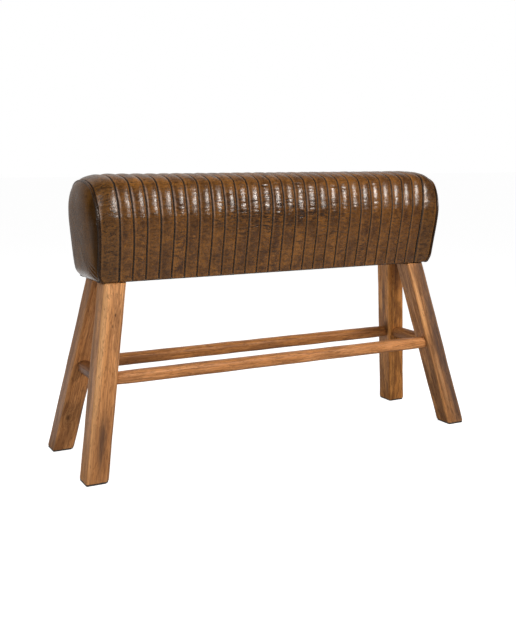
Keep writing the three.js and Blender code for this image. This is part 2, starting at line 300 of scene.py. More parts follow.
# %% Small tools for meshes
def grid_normals(points):
    """Unit normals of a grid of points, rows by columns, that face outwards."""
    normal = np.cross(np.gradient(points, axis=1), np.gradient(points, axis=0))
    return normal / np.maximum(np.linalg.norm(normal, axis=2, keepdims=True), 1e-12)


def grid_faces(rows, columns, wrap=False):
    i, j = np.meshgrid(np.arange(rows - 1), np.arange(columns if wrap else columns - 1), indexing="ij")
    nxt = (j + 1) % columns
    quads = [i * columns + j, i * columns + nxt, (i + 1) * columns + nxt, (i + 1) * columns + j]
    return np.stack(quads, -1).reshape(-1, 4).tolist()


def capped_rings(rings):
    """Vertices and faces of a closed skin: rings of points, with a fan over the first and over the last."""
    count, around = rings.shape[:2]
    faces = grid_faces(count, around, wrap=True)
    first, last = count * around, count * around + 1
    for k in range(around):
        faces.append((first, (k + 1) % around, k))
        faces.append((last, (count - 1) * around + k, (count - 1) * around + (k + 1) % around))
    return np.concatenate([rings.reshape(-1, 3), [rings[0].mean(0)], [rings[-1].mean(0)]]), faces


def bar_faces(count, around):
    """Faces of a bar made of rings of points, with one flat face over each end."""
    ends = [tuple(range(around)), tuple(range((count - 1) * around, count * around))]
    return grid_faces(count, around, wrap=True) + ends


def face_outwards(mesh):
    shape = bmesh.new()
    shape.from_mesh(mesh)
    bmesh.ops.recalc_face_normals(shape, faces=shape.faces)
    shape.to_mesh(mesh)
    shape.free()


def new_piece(name, vertices, faces, finish, attributes=None):
    mesh = bpy.data.meshes.new(name)
    mesh.from_pydata(np.asarray(vertices, float).tolist(), [], faces)
    for key, values in (attributes or {}).items():
        values = np.asarray(values, np.float32)
        kind = ("FLOAT_VECTOR", "vector") if values.ndim == 2 else ("FLOAT", "value")
        mesh.attributes.new(key, kind[0], "POINT").data.foreach_set(kind[1], values.ravel())
    face_outwards(mesh)
    mesh.shade_smooth()
    mesh.materials.append(finish)
    return added(name, mesh)


def hand_over(piece, slot, *replaced):
    """Hangs a finished piece on the root body and hides the solids it stands for. Its slot is not used."""
    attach(piece, "root")
    if replaced:
        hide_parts(*replaced)
    return piece


# %% [markdown]
# ## Leather
#
# Waxed leather of this kind is dyed unevenly and then rubbed back: tan on the crowns, with freckles and
# darker clouds. Its seams and creases are painted nearly black as shade, and a thin band beside each seam is
# painted lighter as a highlight. The wax gives it a half gloss that breaks up over the pores. The cover's
# meshes carry where each point lies on the skin, so the pattern runs along the strips and not through them,
# and they carry the depth of each crease, which sets how dark its painted shade is.

# %% Small tools for finishes
def dress(graph, **values):
    """Feeds inputs of the finish's shader. Base_Color stands for its Base Color, and so on."""
    for key, value in values.items():
        graph.feed(graph.shader.inputs[key.replace("_", " ")], value)


def finish(name, roughness, **constants):
    material = bpy.data.materials.new(name)
    material.use_nodes = True
    graph = Graph(material.node_tree)
    graph.material = material
    graph.shader = material.node_tree.nodes["Principled BSDF"]
    dress(graph, Roughness=roughness, **constants)
    return graph


def attribute(graph, name, output="Fac"):
    return graph.node("ShaderNodeAttribute", {"attribute_name": name}, output=output)


def scaled(graph, place, scale, shift=(0, 0, 0)):
    return graph.node("ShaderNodeMapping", inputs={"Vector": place, "Scale": scale, "Location": shift})


def noise(graph, place, scale, detail=3.0, roughness=0.5, distortion=0.0):
    shape = {"Detail": detail, "Roughness": roughness, "Distortion": distortion}
    return graph.node("ShaderNodeTexNoise", inputs={"Vector": place, "Scale": scale, **shape}, output="Fac")


def times(colour, share):
    return tuple(min(1, c * share) for c in colour)


def mixed(graph, share, first, second):
    settings = {"data_type": "RGBA", "clamp_factor": True}
    first, second = ((*c, 1) if isinstance(c, tuple) else c for c in (first, second))
    return graph.node("ShaderNodeMix", settings, {0: share, 6: first, 7: second}, output=2)


def bump(graph, height, strength, distance, under=None):
    inputs = {"Height": height, "Strength": strength, "Distance": distance}
    if under is not None:
        inputs["Normal"] = under
    return graph.node("ShaderNodeBump", inputs=inputs)


# %% The leather's finish
# painted shade: near black for the shade in the seam valleys and along the end panels beside the piping
SEAM_SHADE_BLACK = (0.01, 0.005, 0.003)


def leather_finish(name, tan, dark, wear=1.0, shine=0.46, coat=0.08, on_skin=True):
    """Waxed leather. The strips carry their own place on the skin, and the panels and the piping don't."""
    graph = finish(name, 0.4, Specular_IOR_Level=shine, Coat_Weight=coat, Coat_Roughness=0.2, Coat_IOR=1.5)
    spot = object_place(graph)
    skin = attribute(graph, "skin", "Vector") if on_skin else spot
    clouds = noise(graph, scaled(graph, skin, (24, 17, 24), (0, 0, 3.7)), 1.0, 4, 0.6, 0.6)
    blotches = noise(graph, scaled(graph, skin, (62, 78, 62), (0, 0, 9.1)), 1.0, 4, 0.62, 0.9)
    patches = noise(graph, scaled(graph, skin, (120, 150, 120)), 1.0, 4, 0.62, 0.5)
    freckles = noise(graph, scaled(graph, skin, (210, 260, 210)), 1.0, 3, 0.62, 0.5)
    pores = graph.node("ShaderNodeTexVoronoi", inputs={"Vector": skin, "Scale": 900.0, "Randomness": 1.0})
    ripples = noise(graph, scaled(graph, skin, (44, 250, 44)), 1.0, 4, 0.62, 1.3)
    black = times(dark, 0.3)

    tone = between(graph, clouds * 0.4 + blotches * 0.35 + patches * 0.25, 0.4, 0.58)
    colour = mixed(graph, tone, dark, tan)
    glow = between(graph, patches * 0.5 + freckles * 0.5, 0.5, 0.68)
    colour = mixed(graph, glow * (0.6 * wear), colour, times(tan, 1.6))
    colour = mixed(graph, between(graph, blotches, 0.5, 0.66) * (0.75 * wear), colour, dark)
    spots = between(graph, freckles, 0.5, 0.62) * between(graph, patches, 0.42, 0.56)
    colour = mixed(graph, spots * (0.85 * wear), colour, black)
    lines = between(graph, ripples, 0.5, 0.63) * between(graph, blotches, 0.36, 0.52)
    colour = mixed(graph, lines * (0.85 * wear), colour, black)
    rough = between(graph, blotches * 0.4 + freckles * 0.6, 0.35, 0.65, 0.19, 0.34)
    if on_skin:
        strip = {"W": axis_of(graph, skin, "Z")}
        own = graph.node("ShaderNodeTexWhiteNoise", {"noise_dimensions": "1D"}, strip, output="Value")
        colour = mixed(graph, own * 0.35, colour, times(tan, 0.5))
        lengthwise, height = axis_of(graph, spot, "X"), axis_of(graph, spot, "Z")
        # painted shade: the ribs are painted darker towards the right-hand end, where less light falls
        colour = mixed(graph, between(graph, lengthwise, 0.05, 0.42) * 0.3, colour, dark)
        band = between(graph, height, 0.53, 0.58) * between(graph, height, 0.6, 0.65, 1.0, 0.0)
        band = band * between(graph, lengthwise, -0.3, -0.12)
        band = band * between(graph, lengthwise, 0.08, 0.3, 1.0, 0.0)
        handled = band * between(graph, blotches * 0.5 + ripples * 0.5, 0.42, 0.56)
        colour = mixed(graph, handled * 0.9, colour, black)
        # painted shade: each crease is painted darker by its depth
        crease = attribute(graph, "crease")
        colour = mixed(graph, between(graph, crease, 0.08, 0.8) * 0.85, colour, black)
        valley = attribute(graph, "valley")
        # painted highlight: a thin lighter band beside each seam, where the strip's edge catches the light
        painted_seam_highlight = between(graph, valley, 0.6, 0.78) * (1 - between(graph, valley, 0.8, 0.9))
        colour = mixed(graph, painted_seam_highlight * 0.3, colour, times(tan, 1.4))
        # painted shade: the valley at each seam is painted near black
        colour = mixed(graph, between(graph, valley, 0.82, 0.95), colour, SEAM_SHADE_BLACK)
        rough = rough + between(graph, valley, 0.8, 0.92) * 0.4
    else:
        # painted reflection: a dark band along the front of each end panel, for the dim room it reflects
        painted_dark_reflection = between(graph, axis_of(graph, spot, "Y"), -0.084, -0.072, 1.0, 0.0)
        colour = mixed(graph, painted_dark_reflection * 0.7, colour, times(dark, 0.35))
    # painted shade: a near-black line along each end panel's edge, beside the piping
    colour = mixed(graph, between(graph, attribute(graph, "rim"), 0.97, 0.995), colour, SEAM_SHADE_BLACK)
    grain = bump(graph, pores, 0.16, 0.0006)
    folds = bump(graph, ripples, 0.12 * wear, 0.0014, grain)
    surface = bump(graph, patches * 0.6 + freckles * 0.4, 0.3 * wear, 0.0016, folds)
    dress(graph, Base_Color=colour, Roughness=rough, Normal=surface)
    return graph.material


rib_leather = leather_finish("rib_leather", (0.27, 0.108, 0.019), (0.05, 0.018, 0.005))
wide_leather = leather_finish(
    "wide_strip_leather", (0.19, 0.08, 0.016), (0.042, 0.016, 0.004), wear=1.1, shine=0.42, coat=0.06
)
end_leather = leather_finish(
    "end_panel_leather",
    (0.125, 0.052, 0.009),
    (0.072, 0.028, 0.004),
    wear=0.25,
    shine=0.2,
    coat=0.0,
    on_skin=False,
)
piping_leather = leather_finish(
    "piping_leather",
    (0.11, 0.048, 0.014),
    (0.035, 0.015, 0.005),
    wear=0.5,
    shine=0.3,
    coat=0.0,
    on_skin=False,
)

# %% [markdown]
# ## Padding, swollen by a cloth simulation
#
# The padding is what gives the ribs their swell: foam pressed out between the seams that hold it down. A
# closed body in the seat's shape is remeshed into even voxels, held along every seam, and blown up with the
# Cloth modifier's pressure. The same body then serves twice. It is the foam, and part of how far each of
# its points moved is how far the leather over it swells.

# %% The swollen padding
FOAM_INSET = 7.5 * MM
DOME = 21 * MM
DOME_MIDDLE = np.array([0, 0.556])  # across and up
DOME_CLOSING = 1.35  # above 1 the rings lie closer together near the seam
COARSE = 6 * MM  # between two points of the padding


def shrunk(closed, inset):
    """A closed outline drawn inwards by a distance."""
    along = np.roll(closed, -1, 0) - np.roll(closed, 1, 0)
    along /= np.linalg.norm(along, axis=1, keepdims=True)
    return closed + np.stack([along[:, 1], -along[:, 0]], 1) * inset


def end_outline(spacing, inset=0.0):
    """An end's closed outline in y and z: over the seat from its front lower corner, then back below."""
    line = seat_outline(spacing, hem=2 * MM)
    line = draw_in(np.full(len(line), SEAM), line[:, 0], line[:, 1])[:, 1:]
    below = np.linspace(line[-1], line[0], max(4, round(2 * abs(line[0, 0]) / spacing)))[1:-1]
    closed = np.concatenate([line, below])
    return shrunk(closed, inset) if inset else closed


def dome_rings(outline, rings, bulge, start=0.0):
    """Rings of points (rings, n, 3) from an end's outline inwards to its middle, at the right-hand end."""
    share = 1 - np.linspace(0, 1, rings)[:, None, None] ** DOME_CLOSING
    flat = DOME_MIDDLE + (outline - DOME_MIDDLE)[None] * share
    side = outline[(outline[:, 0] < 0) & (outline[:, 1] > outline[:, 1].min() + 0.5 * MM)]
    side = side[np.argsort(side[:, 1])]
    crown = outline[outline[:, 1] > DOME_MIDDLE[1]]
    crown = crown[np.argsort(crown[:, 0])]
    y, z = flat[..., 0], flat[..., 1]
    level = (z - DOME_MIDDLE[1]) / (DOME_MIDDLE[1] - outline[:, 1].min())
    across = np.abs(y) / -np.interp(z, side[:, 1], side[:, 0])
    up = (z - DOME_MIDDLE[1]) / (np.interp(y, crown[:, 0], crown[:, 1]) - DOME_MIDDLE[1])
    out = (1 - np.clip(across, 0, 1) ** 4) ** 0.72
    out *= (1 - np.clip(up, 0, 1) ** 4) ** 0.7
    out *= (1 - np.clip(-level, 0, 1) ** 6) ** 0.6
    out *= 1 - 0.1 * (1 - eased(z, 0.44, 0.57))
    out[0] = 0
    out = bulge * out + start + SEAM + lean(SEAM, z)
    return np.concatenate([out[..., None], flat], 2)


def padding_body(inset):
    """Rings of points from the left end's middle, along the seat, to the right end's."""
    around = len(end_outline(COARSE))
    plain = seat_outline(COARSE, hem=2 * MM)
    below = np.linspace(plain[-1], plain[0], around - len(plain) + 2)[1:-1]
    plain = shrunk(np.concatenate([plain, below]), inset)
    rings = [draw_in(np.full(around, x), plain[:, 0], plain[:, 1]) for x in np.linspace(-SEAM, SEAM, 80)]
    dome = dome_rings(end_outline(COARSE, inset), 14, DOME - inset)[1:]
    dome[:, :, 0] = np.maximum(dome[:, :, 0], SEAM + 0.5 * MM)
    right = list(dome[:-1])
    left = [ring * (-1, 1, 1) for ring in right][::-1]
    return np.concatenate([left, rings, right])


def body_mesh(name, rings):
    vertices, faces = capped_rings(rings)
    mesh = bpy.data.meshes.new(name)
    mesh.from_pydata(vertices.tolist(), [], faces)
    face_outwards(mesh)
    return mesh


def seam_distance(x, z):
    """How far a point of the seat is from its nearest seam, measured along the seat."""
    x = x - lean(x, z)
    ribbed = np.abs((x / PITCH) - np.round(x / PITCH)) * PITCH
    inside = np.abs(x) < RIBBED + PITCH / 4
    return np.where(inside, ribbed, np.minimum(np.abs(np.abs(x) - RIBBED), np.abs(np.abs(x) - SEAM)))


def evaluated_copy(source):
    return bpy.data.meshes.new_from_object(source.evaluated_get(bpy.context.evaluated_depsgraph_get()))


def swollen(source, voxel, pressure, frames, cap):
    """The remeshed body, where its points started, and where the pressure took them."""
    blank = added("padding_blank", source)
    remesh = blank.modifiers.new("voxels", "REMESH")
    remesh.mode, remesh.voxel_size = "VOXEL", voxel
    even = evaluated_copy(blank)
    blank.modifiers.remove(remesh)
    blank.data = even
    before = np.array([v.co for v in even.vertices])
    normals = np.array([v.normal for v in even.vertices])
    held = (seam_distance(before[:, 0], before[:, 2]) < voxel * 0.55) & (np.abs(before[:, 0]) < SEAM + 8 * MM)
    held |= before[:, 2] < SEAT_BASE + 9 * MM
    group = blank.vertex_groups.new(name="held")
    group.add(np.flatnonzero(held).tolist(), 1.0, "REPLACE")
    cloth = blank.modifiers.new("swell", "CLOTH")
    cloth.settings.quality = 5
    cloth.settings.mass = 0.3
    cloth.settings.tension_stiffness = cloth.settings.compression_stiffness = 2
    cloth.settings.bending_stiffness = 0.6
    cloth.settings.shrink_min = -0.05  # the foam has a little more surface than its seams allow
    cloth.settings.use_pressure = True
    cloth.settings.uniform_pressure_force = pressure
    cloth.settings.vertex_group_mass = "held"
    cloth.settings.effector_weights.gravity = 0
    scene = bpy.context.scene
    for number in range(1, frames + 1):
        scene.frame_set(number)
    after = np.array([v.co for v in evaluated_copy(blank).vertices])
    blank.modifiers.remove(cloth)
    scene.frame_set(1)
    move = after - before
    far = np.linalg.norm(move, axis=1, keepdims=True)
    move *= np.minimum(1, cap / np.maximum(far, 1e-9))
    blank.vertex_groups.clear()
    bpy.data.objects.remove(blank)
    return even, before, before + move, (move * normals).sum(1)


blank_mesh = body_mesh("padding", padding_body(FOAM_INSET))
foam_mesh, rest, puffed, swell = swollen(blank_mesh, 5 * MM, 120.0, 20, 4 * MM)
foam_mesh.vertices.foreach_set("co", puffed.astype(np.float32).ravel())
swell_tree = kdtree.KDTree(len(rest))
for number, place in enumerate(rest):
    swell_tree.insert(place, number)
swell_tree.balance()
loose = swell[(np.abs(rest[:, 0]) < RIBBED) & (rest[:, 2] > SEAT_BASE + 30 * MM)]
middle, most = np.percentile(loose, [50, 95]) / MM
swelled = f"{middle:.1f} mm at its middle point and {most:.1f} mm at the 95% point"
print("under the ribs the padding swelled by", swelled)


def swell_at(points):
    """How far the padding under each point of a grid swelled."""
    if swell_tree is None:
        return np.zeros(points.shape[:-1])
    flat = points.reshape(-1, 3)
    amounts = np.empty(len(flat))
    for number, place in enumerate(flat):
        near = swell_tree.find_n(place, 6)
        weights = np.array([1 / (n[2] + 2 * MM) for n in near])
        amounts[number] = (weights * swell[[n[1] for n in near]]).sum() / weights.sum()
    return amounts.reshape(points.shape[:-1])


# %% [markdown]
# ## The ribs of the cover
#
# Each strip is a grid wrapped over the outline. Across its width it is crowned, and turns down sharply at
# its two seams. The seams wander by about a millimetre, as sewn seams do. Long use has creased the strips
# across: a crease is a narrow groove with a soft lip on each side, and its place, slant and depth are drawn
# from a fixed seed.

# %% Creases and the rib's shape
RNG = np.random.default_rng(26)
ACROSS = np.sin(np.linspace(-1, 1, 17) * math.pi / 2)  # closer together towards the seams
SEAM_WAVES = RNG.uniform(0, 2 * math.pi, (RIBS + 1, 3))
SEAM_SIZES = RNG.uniform(0.4, 1.0, (RIBS + 1, 3)) * (0.7 * MM, 0.5 * MM, 0.14 * MM)


def seam_line(number):
    """Where a seam lies along the seat, at each point of the outline."""
    waves = sum(
        size * np.sin(GIRTH * turns * 2 * math.pi / GIRTH[-1] + phase)
        for size, phase, turns in zip(SEAM_SIZES[number], SEAM_WAVES[number], (1.5, 3.4, 9))
    )
    return -RIBBED + number * PITCH + waves


def wear(x):
    """How creased the cover is at a place along it: most of all in the middle, where people sit."""
    return 0.45 + 0.55 * np.exp(-(((x + 0.02) / 0.2) ** 2))


# Creases over several strips: where they start and end, how far round from the front hem, and how deep.
SHARED = [
    (-0.17, 0.03, 0.137, 0.9),
    (-0.2, -0.06, 0.172, 0.5),
    (0.06, 0.2, 0.112, 0.6),
    (-0.38, -0.3, 0.16, 0.4),
    (0.13, 0.27, 0.163, 0.5),
]
FADE = 0.006  # over which a shared crease dies away


CREASES = 105  # on a strip, where the cover is most creased


def creases(x_grid, rng, amount):
    """The depth of the creases over a strip, as a share of the deepest, with the soft lips beside them."""
    rows, columns = x_grid.shape
    across = np.linspace(-1, 1, columns)[None]
    girth = GIRTH[:, None]
    depth = np.zeros((rows, columns))
    for _ in range(int(CREASES * amount)):
        place = rng.uniform(0.03, GIRTH[-1] - 0.03)
        slant, curve = rng.normal(0, 3.0) * MM, rng.normal(0, 2.0) * MM
        width = rng.uniform(1.2, 2.5) * MM
        centre, reach = rng.uniform(-0.9, 0.9), rng.uniform(0.3, 1.2)
        size = rng.uniform(0.12, 0.75) * amount
        off = (girth - place - slant * across - curve * across**2) / width
        groove = np.exp(-(off**2)) - 0.32 * np.exp(-(((np.abs(off) - 2.1) / 1.1) ** 2))
        depth += size * groove * np.exp(-(((across - centre) / reach) ** 4))
    for first, last, up, size in SHARED:
        inside = 1 / (1 + np.exp(-(x_grid - first) / FADE)) / (1 + np.exp((x_grid - last) / FADE))
        off = (girth - up - 3 * MM * np.sin(x_grid * 70 + up * 90)) / (2.1 * MM)
        depth += size * inside * (np.exp(-(off**2)) - 0.3 * np.exp(-(((np.abs(off) - 2.2) / 1.2) ** 2)))
    return depth


def smooth_noise(rng, rows, columns, row_step, column_step):
    """A soft random field between about -1 and 1, with a few rows and columns between its knots."""
    knots = rng.normal(0, 0.6, (int(rows / row_step) + 3, int(columns / column_step) + 3))
    r, c = np.arange(rows) / row_step, np.arange(columns) / column_step
    i, j = r.astype(int), c.astype(int)
    fr, fc = (r - i)[:, None], (c - j)[None]
    fr, fc = fr * fr * (3 - 2 * fr), fc * fc * (3 - 2 * fc)
    top = knots[i][:, j] * (1 - fc) + knots[i][:, j + 1] * fc
    bottom = knots[i + 1][:, j] * (1 - fc) + knots[i + 1][:, j + 1] * fc
    return top * (1 - fr) + bottom * fr


HIDE = 5.4 * MM  # from a strip's face to its back
CREASE_SHARE = 0.7  # how creased this cover is, against a badly worn one
CREASE_DEPTH = 0.8 * MM  # of the deepest crease on a badly worn one
SHOWN_SWELL = 0.45  # how much of the padding's swelling the leather follows


def strip_piece(name, first, last, across, fall, finish_, number, amount):
    """A strip of the cover between two lines along the seat. fall is how far it drops towards each seam."""
    rng = np.random.default_rng(100 + number)
    share = (across[None] + 1) / 2
    x = first[:, None] * (1 - share) + last[:, None] * share
    base = draw_in(x, OUTLINE[:, :1], OUTLINE[:, 1:])
    normal = grid_normals(base)
    depth = creases(x, rng, amount) * CREASE_SHARE
    soft = smooth_noise(rng, *x.shape, 14, 7) * 0.35 * MM + smooth_noise(rng, *x.shape, 5, 4) * 0.12 * MM
    edge = np.abs(across)[None] ** 12
    stitch_waves = np.sin(GIRTH[:, None] * 2 * math.pi / (7.3 * MM) + number * 1.7)
    pucker = stitch_waves * 0.18 * MM * np.abs(across)[None] ** 5
    swelling = np.clip(swell_at(base), -1 * MM, 4 * MM) * SHOWN_SWELL
    flat = np.clip((OUTLINE[:, 1:] - SEAT_BASE) / (14 * MM), 0.12, 1)
    height = (swelling + soft - depth * CREASE_DEPTH) * flat * (1 - edge * 0.7) + pucker * flat + fall
    outer = base + normal * height[..., None]
    inner = np.stack([base[:, 0], base[:, -1]], 1) + np.stack([normal[:, 0], normal[:, -1]], 1) * -HIDE
    rows, columns = x.shape
    vertices = np.concatenate([outer.reshape(-1, 3), inner.reshape(-1, 3)])
    faces = grid_faces(rows, columns)
    far = rows * columns
    for i in range(rows - 1):
        a, b = i * columns, (i + 1) * columns
        left, right = far + 2 * i, far + 2 * i + 1
        faces += [(a, b, left + 2, left), (a + columns - 1, right, right + 2, b + columns - 1)]
        faces.append((left, left + 2, right + 2, right))
    for i in (0, rows - 1):
        faces.append(tuple(range(i * columns, (i + 1) * columns)) + (far + 2 * i + 1, far + 2 * i))
    skin = np.stack([x, np.broadcast_to(GIRTH[:, None], x.shape), np.full(x.shape, float(number))], 2)
    spare = len(vertices) - far
    marks = {
        "skin": np.concatenate([skin.reshape(-1, 3), np.zeros((spare, 3))]),
        "crease": np.r_[np.clip(depth, 0, 1).ravel(), np.zeros(spare)],
        "valley": np.r_[np.broadcast_to(np.abs(across)[None], x.shape).ravel(), np.ones(spare)],
    }
    return new_piece(name, vertices, faces, finish_, marks)


# %% Sew the cover
HALF_GAP = 0.12 * MM


def rib_fall(across):
    return -(1.7 * np.abs(across)[None] ** 2 + 2.3 * np.abs(across)[None] ** 6) * MM


for number in range(RIBS):
    rib = strip_piece(
        f"cover_rib_{number + 1:02d}",
        seam_line(number) + HALF_GAP,
        seam_line(number + 1) - HALF_GAP,
        ACROSS,
        rib_fall(ACROSS),
        rib_leather,
        number,
        float(wear(-RIBBED + (number + 0.5) * PITCH)),
    )
    hand_over(rib, "rib_leather", f"rib_strip_{number + 1:02d}")
print("sewed", RIBS, "ribs of", len(rib.data.polygons), "faces")

WIDE_ACROSS = np.sin(np.linspace(-1, 1, 29) * math.pi / 2)
tucked = SEAM - 1.6 * MM
for side, first, last, number in (
    ("left", np.full(len(OUTLINE), -tucked), seam_line(0) - HALF_GAP, 40),
    ("right", seam_line(RIBS) + HALF_GAP, np.full(len(OUTLINE), tucked), 41),
):
    toward_rib = WIDE_ACROSS if side == "left" else -WIDE_ACROSS
    fall = -(1.0 * WIDE_ACROSS[None] ** 2 + 2.3 * np.clip(toward_rib, 0, 1)[None] ** 14) * MM
    fall -= 1.6 * MM * np.clip(-toward_rib, 0, 1)[None] ** 10
    wide = strip_piece(f"cover_end_{side}", first, last, WIDE_ACROSS, fall, wide_leather, number, 0.3)
    hand_over(wide, "rib_leather", f"end_strip_{side}")

# %% Foam
foam_stuff = finish("cream_foam", 0.95)
cells = noise(foam_stuff, object_place(foam_stuff), 900.0, 2)
foam_colour = mixed(foam_stuff, cells, (0.62, 0.52, 0.3), (0.85, 0.76, 0.52))
dress(foam_stuff, Base_Color=foam_colour, Normal=bump(foam_stuff, cells, 0.5, 0.001))
foam = added("seat_foam", foam_mesh)
foam_mesh.shade_smooth()
foam_mesh.materials.clear()
foam_mesh.materials.append(foam_stuff.material)
hand_over(foam, "foam", "foam_wrap", "end_foam_left", "end_foam_right")

# %% [markdown]
# ## End panels
#
# A panel is cut smooth and stretched over its own cushion, so it is plump in the middle and rolls under at
# the foot, where it is turned below the seat. Rings of points run from the seam to the middle. How far the
# dome stands out is one fall towards the sides, times one towards the top and one towards the foot, and it
# is a little flatter low down. Three short pleats take up the spare leather at each lower corner.

# %% End panels
PANEL_RINGS = 46
PLEATS = ((-0.93, 2.0, 0.018), (-0.86, 1.5, 0.015), (-1.0, 1.4, 0.018))  # angle, depth in mm, width


def end_panel(side):
    direction = 1 if side == "right" else -1
    outline = end_outline(2.2 * MM)
    rings = dome_rings(outline, PANEL_RINGS, DOME, 0.8 * MM)
    inwards = np.linspace(0, 1, PANEL_RINGS)
    swelling = np.clip(swell_at(rings * (direction, 1, 1)), 0, 3 * MM)
    rings[:, :, 0] += swelling * 0.25 * inwards[:, None] ** 0.5
    away = rings[:, :, 1:] - DOME_MIDDLE
    reach = np.linalg.norm(away, axis=2) / np.linalg.norm(away[0], axis=1)
    turn = np.arctan2(away[..., 1], np.abs(away[..., 0]) + 1e-9)
    for angle, size, width in PLEATS:
        fold = np.exp(-(((turn - angle - 0.05 * (1 - reach)) / width) ** 2))
        rings[:, :, 0] -= size * MM * fold * eased(reach, 0.72, 0.95) * (reach < 0.995)
    soft = smooth_noise(np.random.default_rng(7 if side == "left" else 8), *reach.shape, 9, 16)
    rings[:, :, 0] += soft * 0.3 * MM * np.sin(np.clip(reach, 0, 1) * math.pi)

    # The hem is tucked behind the piping, and at the foot it is turned below the seat.
    rim = rings[0] - (3.3 * MM, 0, 0)
    rim[:, 1:] = DOME_MIDDLE + (rim[:, 1:] - DOME_MIDDLE) * 0.975
    hem = rim.copy()
    low = outline[:, 1] < SEAT_BASE + 1.5 * MM
    under = [np.full(low.sum(), SEAM - 12 * MM), outline[low, 0]]
    rim[low] = np.stack([*under, np.full(low.sum(), SEAT_BASE)], 1)
    hem[low] = np.stack([*under, np.full(low.sum(), SEAT_BASE + 1.4 * MM)], 1)
    back = rings[::6] - (2.0 * MM, 0, 0)
    back[:, :, 1:] = DOME_MIDDLE + (back[:, :, 1:] - DOME_MIDDLE) * 0.976
    layers = np.concatenate([back[::-1][:-1], [hem], [rim], rings])
    rim_near = np.concatenate([np.zeros(len(layers) - PANEL_RINGS), 1 - inwards**DOME_CLOSING])
    vertices, faces = capped_rings(layers * (direction, 1, 1))
    marks = {"rim": np.r_[np.repeat(rim_near, len(outline)), 0, 0]}
    return new_piece(f"end_panel_{side}_cover", vertices, faces, end_leather, marks)


for side in ("left", "right"):
    panel = end_panel(side)
    hand_over(panel, "end_leather", f"end_panel_{side}")

# %% [markdown]
# ## Piping, stitches and staples
#
# These follow a line, so Geometry Nodes make them: a thin mesh holds the line, and a tree turns it into a
# cord or sets a small shape on it at even steps. The trees end in Realize Instances and Set Material, and
# the result is turned into a plain mesh.

# %% Trees that follow a line
def line_object(name, lines):
    mesh = bpy.data.meshes.new(name)
    points, edges = [], []
    for line in lines:
        start = len(points)
        points += np.asarray(line).tolist()
        edges += [(start + k, start + k + 1) for k in range(len(line) - 1)]
    mesh.from_pydata(points, edges, [])
    return added(name, mesh)


def new_tree(name, sizes):
    tree = bpy.data.node_groups.new(name, "GeometryNodeTree")
    tree.interface.new_socket("Geometry", in_out="INPUT", socket_type="NodeSocketGeometry")
    for key, value in sizes.items():
        kind = "NodeSocketMaterial" if key == "Finish" else "NodeSocketFloat"
        socket = tree.interface.new_socket(key, in_out="INPUT", socket_type=kind)
        if key != "Finish":
            socket.default_value = value
    tree.interface.new_socket("Geometry", in_out="OUTPUT", socket_type="NodeSocketGeometry")
    graph = Graph(tree)
    given = tree.nodes.new("NodeGroupInput")
    graph.given = {s.name: Wire(graph, s) for s in given.outputs if s.name}
    return graph


def end_tree(graph, geometry):
    real = graph.node("GeometryNodeRealizeInstances", inputs={0: geometry})
    smooth = graph.node("GeometryNodeSetShadeSmooth", inputs={0: real})
    finished = {"Geometry": smooth, "Material": graph.given["Finish"]}
    last = graph.node("GeometryNodeSetMaterial", inputs=finished)
    out = graph.tree.nodes.new("NodeGroupOutput")
    graph.feed(out.inputs[0], last)


def grown(line, graph, sizes):
    """Runs a tree on a line and gives back the plain mesh piece it makes."""
    modifier = line.modifiers.new("grow", "NODES")
    modifier.node_group = graph.tree
    for item in graph.tree.interface.items_tree:
        if item.in_out == "INPUT" and item.name in sizes:
            modifier[item.identifier] = sizes[item.name]
    bpy.context.view_layer.update()
    mesh = evaluated_copy(line)
    line.modifiers.remove(modifier)
    name = line.name
    bpy.data.objects.remove(line)
    mesh.name = name
    return added(name, mesh)


CORD_STEPS, CORD_SIDES = 260, 14
BEAD = {"Segments": 6, "Rings": 4}  # the sphere of a stitch or of a staple's knee


def cord_tree():
    graph = new_tree("cord_on_a_line", {"Radius": 3 * MM, "Finish": None})
    curve = graph.node("GeometryNodeMeshToCurve", inputs={0: graph.given["Geometry"]})
    even = graph.node("GeometryNodeResampleCurve", inputs={"Curve": curve, "Count": CORD_STEPS})
    round_size = {"Resolution": CORD_SIDES, "Radius": graph.given["Radius"]}
    ring = graph.node("GeometryNodeCurvePrimitiveCircle", {"mode": "RADIUS"}, round_size)
    parts = {"Curve": even, "Profile Curve": ring, "Fill Caps": True}
    cord = graph.node("GeometryNodeCurveToMesh", inputs=parts)
    end_tree(graph, cord)
    return graph


def repeated_tree(name, shape, sizes):
    """A small shape at even steps along a line."""
    graph = new_tree(name, {"Pitch": 4 * MM, **sizes, "Finish": None})
    curve = graph.node("GeometryNodeMeshToCurve", inputs={0: graph.given["Geometry"]})
    steps = graph.tree.nodes.new("GeometryNodeCurveToPoints")
    steps.mode = "LENGTH"
    graph.feed(steps.inputs["Curve"], curve)
    graph.feed(steps.inputs["Length"], graph.given["Pitch"])
    placed = graph.node(
        "GeometryNodeInstanceOnPoints",
        inputs={
            "Points": Wire(graph, steps.outputs["Points"]),
            "Instance": shape(graph),
            "Rotation": Wire(graph, steps.outputs["Rotation"]),
        },
    )
    end_tree(graph, placed)
    return graph


def thread_shape(graph):
    bead = graph.node("GeometryNodeMeshUVSphere", inputs={**BEAD, "Radius": 1.0})
    thick, long = graph.given["Thick"], graph.given["Long"]
    scale = graph.node("ShaderNodeCombineXYZ", inputs={0: thick, 1: thick, 2: long})
    return graph.node("GeometryNodeTransform", inputs={"Geometry": bead, "Scale": scale})


